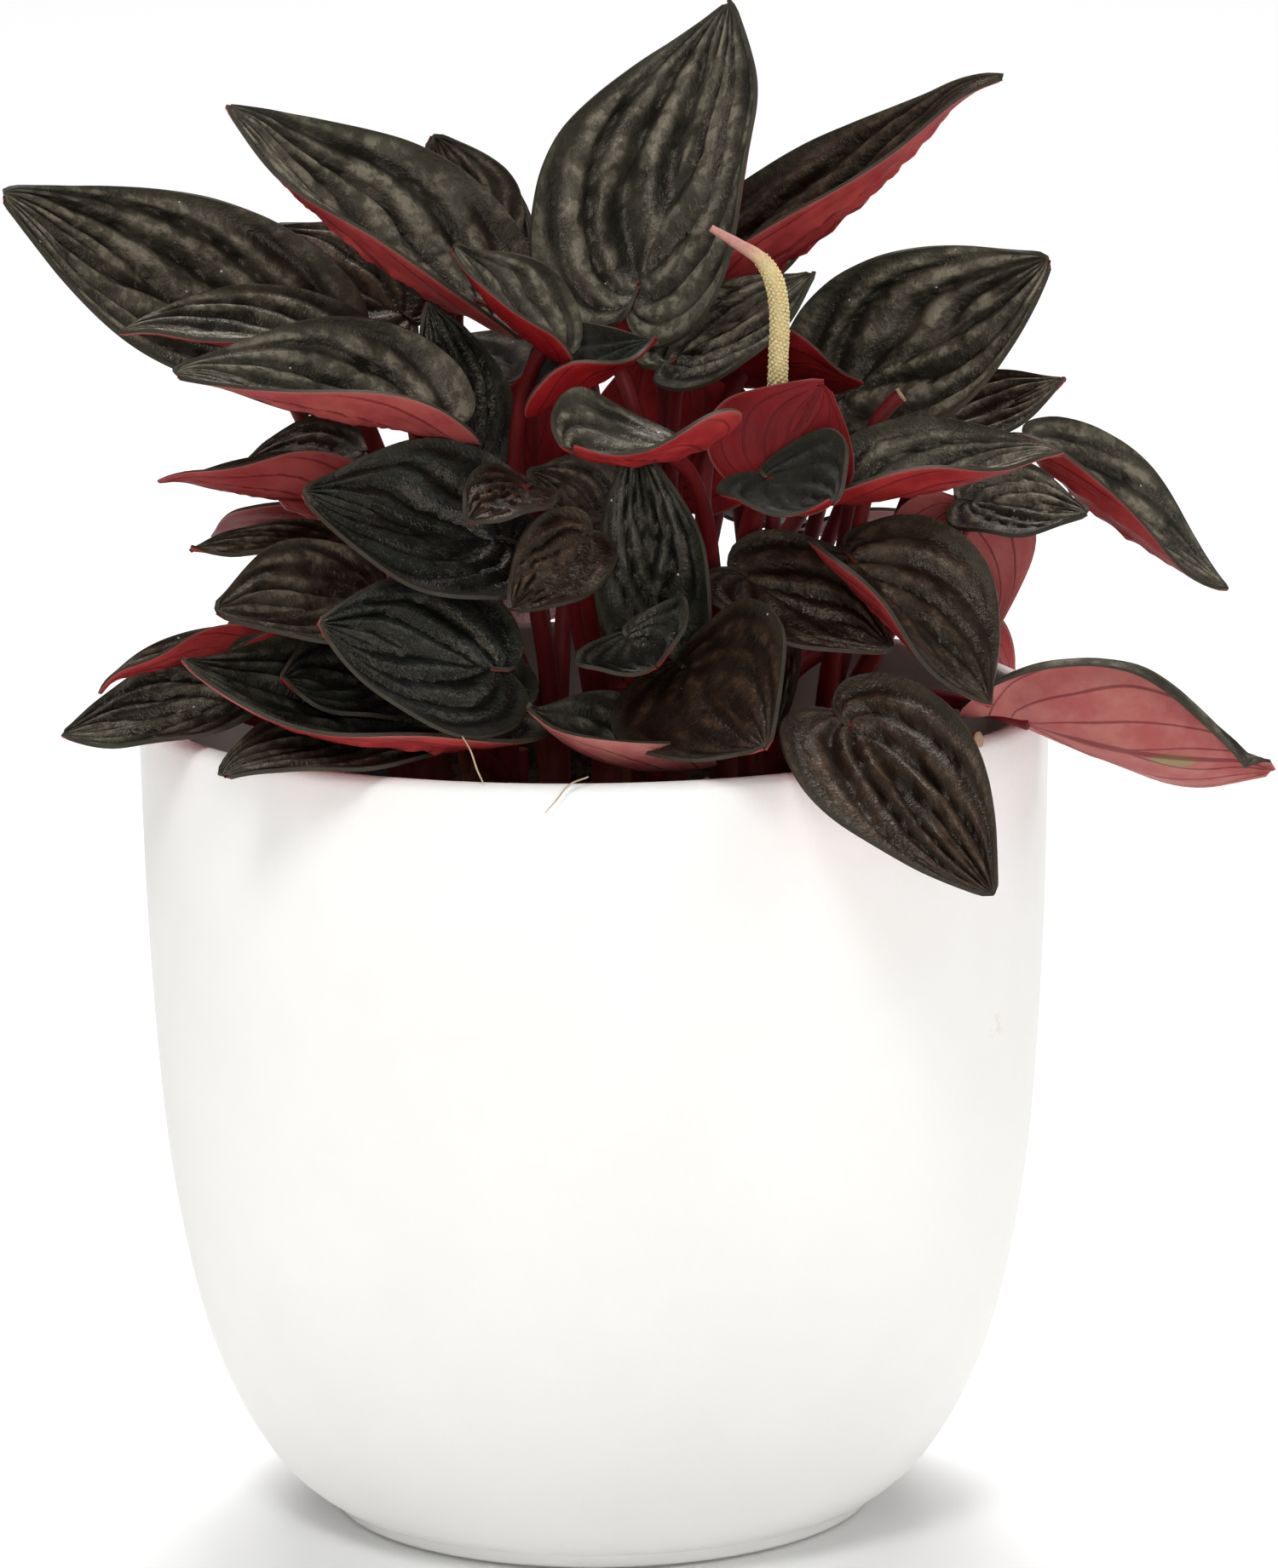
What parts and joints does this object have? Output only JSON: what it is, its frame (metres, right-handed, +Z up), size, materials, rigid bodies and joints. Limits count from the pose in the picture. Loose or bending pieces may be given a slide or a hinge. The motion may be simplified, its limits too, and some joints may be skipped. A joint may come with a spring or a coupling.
{
  "type": "potted ripple peperomia",
  "caption": "Low leafy houseplant with rippled dark heart-shaped leaves, red undersides and stalks, and a bent flower spike, in a round-bottomed white ceramic pot.",
  "frame": {"origin": "middle of the cover pot's flat foot, on the surface that it stands on", "axes": "+Z up; -Y is the show side, towards the viewer; +X to the viewer's right"},
  "size_m": [0.1893, 0.1725, 0.2326],
  "materials": {
    "pot_ceramic": "matte white stoneware",
    "nursery_plastic": "matte black",
    "peat_soil": "moist potting soil",
    "leaf": "satin dark green-bronze leaf with a red underside and red stalk",
    "flower_stalk": "smooth red stalk",
    "flower": "granular pale yellow, pink at the tip"
  },
  "bodies": {
    "root": {"cover_pot": "pot_ceramic", "nursery_pot": "nursery_plastic", "soil": "peat_soil", "shoot_left_upper": "leaf", "shoot_left": "leaf", "shoot_left_lower": "leaf", "shoot_front_left": "leaf", "shoot_front": "leaf", "shoot_front_right": "leaf", "shoot_right": "leaf", "shoot_top": "leaf", "shoot_inner_left": "leaf", "shoot_inner_front": "leaf", "shoot_inner_right": "leaf", "shoot_back_left": "leaf", "shoot_back": "leaf", "shoot_back_right": "leaf", "flower_stalk": "flower_stalk", "flower_spike": "flower"}
  },
  "joints": []
}
